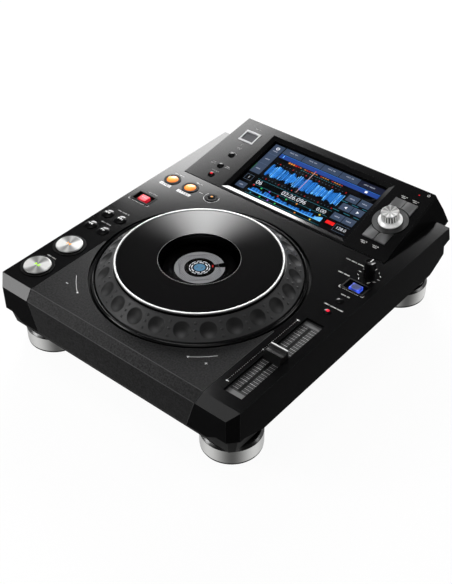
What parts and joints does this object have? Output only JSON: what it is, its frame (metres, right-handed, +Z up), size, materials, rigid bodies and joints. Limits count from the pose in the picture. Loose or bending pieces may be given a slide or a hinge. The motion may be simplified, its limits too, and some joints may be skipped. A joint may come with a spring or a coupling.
{
  "type": "dj media player",
  "caption": "Tabletop music player with a weighted jog dial, tempo slider, push buttons and a tilted touch display.",
  "frame": {"origin": "on the table, below the middle of the footprint", "axes": "+X to the right, +Y from the user towards the display, +Z up"},
  "size_m": [0.3064, 0.3834, 0.1104],
  "materials": {
    "deck_gloss": "glossy black injection moulding",
    "apron_texture": "finely textured black",
    "case_black": "black powder coat",
    "foot_metal": "turned and polished",
    "foot_rubber": "plain rubber",
    "screw_steel": "black zinc",
    "socket_plastic": "black moulding",
    "socket_metal": "nickel plate",
    "screen_glass": "clear touch glass",
    "screen_lcd": "lit display",
    "board_green": "circuit board",
    "dial_black": "satin black",
    "platter_gloss": "glossy black",
    "bright_trim": "bright ring",
    "knob_black": "black knob",
    "knob_silver": "satin silver",
    "lamp_orange": "lit orange cap",
    "lamp_red": "lit red cap",
    "lamp_blue": "lit blue cap",
    "key_grey": "grey key"
  },
  "bodies": {
    "case": {"bottom_case": "case_black", "top_deck": "deck_gloss", "jog_apron": "apron_texture", "display_housing": "deck_gloss", "display_panel": "deck_gloss", "touch_screen": "screen_glass", "lcd_module": "screen_lcd", "foot_rings": "foot_metal", "foot_pads": "foot_rubber", "case_screws": "screw_steel", "rear_jack_panel": "case_black", "ac_inlet": "socket_plastic", "rca_jacks": "socket_metal", "data_ports": "socket_metal", "usb_port": "socket_metal", "usb_frame": "socket_plastic", "main_board": "board_green", "power_supply": "board_green", "control_boards": "board_green", "tact_switches": "socket_plastic", "jog_base": "socket_plastic", "jog_guard_ring": "deck_gloss", "jog_bearing": "socket_metal", "jog_display": "screen_lcd", "slide_potentiometer": "socket_plastic", "tempo_plate": "dial_black", "rotary_controls": "socket_metal", "control_bezels": "socket_plastic"},
    "jog": {"jog_hub": "dial_black", "jog_ring": "dial_black", "jog_platter": "platter_gloss", "jog_trim_ring": "bright_trim", "jog_window": "screen_glass"},
    "tempo": {"tempo_carriage": "knob_black", "tempo_cap": "knob_black"},
    "speed": {"speed_knob": "knob_black"},
    "selector_turn": {"selector_rotor": "knob_silver"},
    "selector_push": {"selector_knob": "knob_silver"},
    "flap": {"usb_flap": "key_grey"},
    "power": {"power_button": "socket_plastic"},
    "play": {"play_button": "knob_silver"},
    "cue": {"cue_button": "knob_silver"},
    "search_back": {"search_back_button": "knob_black"},
    "search_forward": {"search_forward_button": "knob_black"},
    "track_back": {"track_back_button": "knob_black"},
    "track_forward": {"track_forward_button": "knob_black"},
    "direction": {"direction_button": "lamp_red"},
    "loop_in": {"loop_in_button": "lamp_orange"},
    "loop_out": {"loop_out_button": "lamp_orange"},
    "reloop": {"reloop_button": "knob_black"},
    "mode": {"mode_button": "lamp_blue"},
    "tempo_range": {"tempo_range_button": "knob_black"},
    "master_tempo": {"master_tempo_button": "knob_black"},
    "back": {"back_button": "key_grey"},
    "tag": {"tag_button": "key_grey"},
    "link": {"link_button": "key_grey"},
    "menu": {"menu_button": "key_grey"},
    "usb_stop": {"usb_stop_button": "knob_black"},
    "time_mode": {"time_mode_button": "knob_black"},
    "quantize": {"quantize_button": "knob_black"}
  },
  "joints": [
    {"name": "jog_spin", "type": "hinge", "parent": "case", "child": "jog", "pos_m": [0, -0.05831, 0.083], "axis": [0, 0, 1], "continuous": true},
    {"name": "tempo_slide", "type": "slide", "parent": "case", "child": "tempo", "axis": [0, 1, 0], "range_m": [-0.05, 0.05]},
    {"name": "speed_turn", "type": "hinge", "parent": "case", "child": "speed", "pos_m": [0.133, 0.04469, 0.083], "axis": [0, 0, 1], "range_deg": [-150, 150]},
    {"name": "selector_turn", "type": "hinge", "parent": "case", "child": "selector_turn", "pos_m": [0.10655, 0.12202, 0.0946], "axis": [0, -0.2096, 0.9778], "continuous": true},
    {"name": "selector_push", "type": "slide", "parent": "selector_turn", "child": "selector_push", "axis": [0, 0.2096, -0.9778], "range_m": [0, 0.0008], "stiffness_N_per_m": 900, "springref_m": -0.001},
    {"name": "usb_flap_hinge", "type": "hinge", "parent": "case", "child": "flap", "pos_m": [-0.10445, 0.1568, 0.10124], "axis": [-1, 0, 0], "range_deg": [0, 95]},
    {"name": "play_press", "type": "slide", "parent": "case", "child": "play", "axis": [0, 0, -1], "range_m": [0, 0.0012], "stiffness_N_per_m": 600, "springref_m": -0.001},
    {"name": "cue_press", "type": "slide", "parent": "case", "child": "cue", "axis": [0, 0, -1], "range_m": [0, 0.0012], "stiffness_N_per_m": 600, "springref_m": -0.001},
    {"name": "search_back_press", "type": "slide", "parent": "case", "child": "search_back", "axis": [0, 0, -1], "range_m": [0, 0.001], "stiffness_N_per_m": 600, "springref_m": -0.001},
    {"name": "search_forward_press", "type": "slide", "parent": "case", "child": "search_forward", "axis": [0, 0, -1], "range_m": [0, 0.001], "stiffness_N_per_m": 600, "springref_m": -0.001},
    {"name": "track_back_press", "type": "slide", "parent": "case", "child": "track_back", "axis": [0, 0, -1], "range_m": [0, 0.001], "stiffness_N_per_m": 600, "springref_m": -0.001},
    {"name": "track_forward_press", "type": "slide", "parent": "case", "child": "track_forward", "axis": [0, 0, -1], "range_m": [0, 0.001], "stiffness_N_per_m": 600, "springref_m": -0.001},
    {"name": "direction_press", "type": "slide", "parent": "case", "child": "direction", "axis": [0, 0, -1], "range_m": [0, 0.001], "stiffness_N_per_m": 600, "springref_m": -0.001},
    {"name": "loop_in_press", "type": "slide", "parent": "case", "child": "loop_in", "axis": [0, 0, -1], "range_m": [0, 0.001], "stiffness_N_per_m": 600, "springref_m": -0.001},
    {"name": "loop_out_press", "type": "slide", "parent": "case", "child": "loop_out", "axis": [0, 0, -1], "range_m": [0, 0.001], "stiffness_N_per_m": 600, "springref_m": -0.001},
    {"name": "reloop_press", "type": "slide", "parent": "case", "child": "reloop", "axis": [0, 0, -1], "range_m": [0, 0.0008], "stiffness_N_per_m": 600, "springref_m": -0.001},
    {"name": "mode_press", "type": "slide", "parent": "case", "child": "mode", "axis": [0, 0, -1], "range_m": [0, 0.001], "stiffness_N_per_m": 600, "springref_m": -0.001},
    {"name": "tempo_range_press", "type": "slide", "parent": "case", "child": "tempo_range", "axis": [0, 0, -1], "range_m": [0, 0.0008], "stiffness_N_per_m": 600, "springref_m": -0.001},
    {"name": "master_tempo_press", "type": "slide", "parent": "case", "child": "master_tempo", "axis": [0, 0, -1], "range_m": [0, 0.0008], "stiffness_N_per_m": 600, "springref_m": -0.001},
    {"name": "back_press", "type": "slide", "parent": "case", "child": "back", "axis": [0, 0.2096, -0.9778], "range_m": [0, 0.0008], "stiffness_N_per_m": 600, "springref_m": -0.001},
    {"name": "tag_press", "type": "slide", "parent": "case", "child": "tag", "axis": [0, 0.2096, -0.9778], "range_m": [0, 0.0008], "stiffness_N_per_m": 600, "springref_m": -0.001},
    {"name": "link_press", "type": "slide", "parent": "case", "child": "link", "axis": [0, 0.2096, -0.9778], "range_m": [0, 0.0008], "stiffness_N_per_m": 600, "springref_m": -0.001},
    {"name": "menu_press", "type": "slide", "parent": "case", "child": "menu", "axis": [0, 0.2096, -0.9778], "range_m": [0, 0.0008], "stiffness_N_per_m": 600, "springref_m": -0.001},
    {"name": "usb_stop_press", "type": "slide", "parent": "case", "child": "usb_stop", "axis": [0, 0.2096, -0.9778], "range_m": [0, 0.0008], "stiffness_N_per_m": 600, "springref_m": -0.001},
    {"name": "time_mode_press", "type": "slide", "parent": "case", "child": "time_mode", "axis": [0, 0.2096, -0.9778], "range_m": [0, 0.0008], "stiffness_N_per_m": 600, "springref_m": -0.001},
    {"name": "quantize_press", "type": "slide", "parent": "case", "child": "quantize", "axis": [0, 0.2096, -0.9778], "range_m": [0, 0.0008], "stiffness_N_per_m": 600, "springref_m": -0.001},
    {"name": "power_press", "type": "slide", "parent": "case", "child": "power", "axis": [0, -1, 0], "range_m": [0, 0.002], "stiffness_N_per_m": 600, "springref_m": -0.001}
  ]
}
